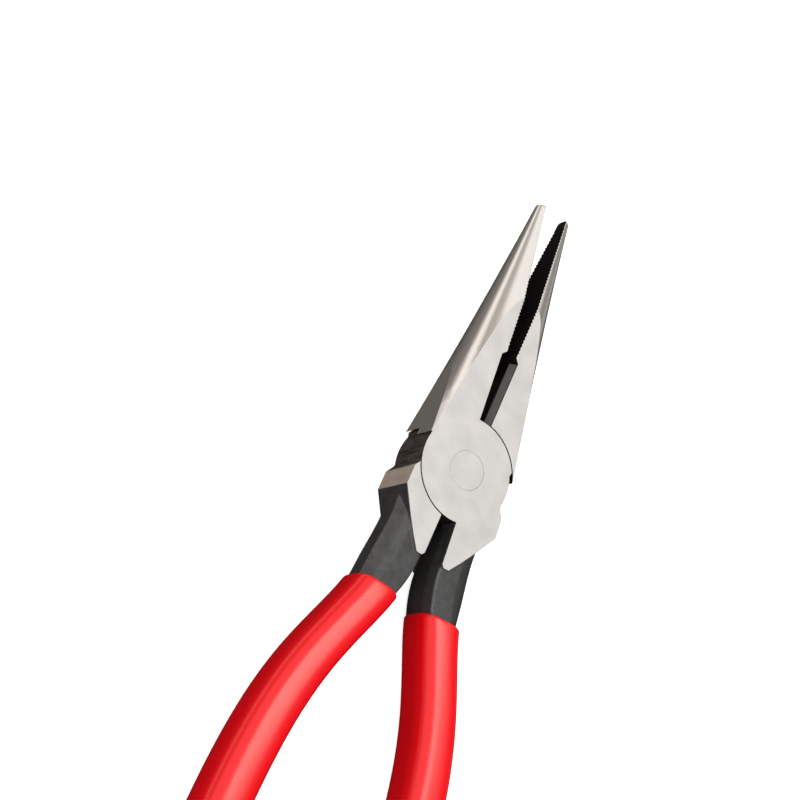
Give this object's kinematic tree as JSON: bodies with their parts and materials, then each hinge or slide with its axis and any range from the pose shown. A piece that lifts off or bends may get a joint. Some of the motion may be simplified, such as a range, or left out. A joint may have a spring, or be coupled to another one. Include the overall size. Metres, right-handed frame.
{
  "type": "needle nose pliers",
  "caption": "Long-nose pliers with a side cutter behind the gripping faces, a flush lap joint and dipped handle grips, stored slightly open.",
  "frame": {"origin": "on the rivet's axis, at the ground back face of the joint", "axes": "+Z along the rivet from the back face to the front face, +Y towards the jaw tips, +X across the tool towards the front half's handle"},
  "size_m": [0.0584, 0.2096, 0.0122],
  "materials": {
    "forged_steel": "ground and satin polished, black oxide left on necks and gripping faces",
    "rivet_steel": "ground flush with the joint",
    "grip_vinyl": "glossy dipped vinyl"
  },
  "bodies": {
    "front": {"front_half": "forged_steel", "pivot_rivet": "rivet_steel", "right_grip": "grip_vinyl"},
    "back": {"back_half": "forged_steel", "left_grip": "grip_vinyl"}
  },
  "joints": [
    {"name": "jaw_pivot", "type": "hinge", "parent": "front", "child": "back", "pos_m": [0, 0, 0.0061], "axis": [0, 0, -1], "range_deg": [-5.2, 34]}
  ]
}
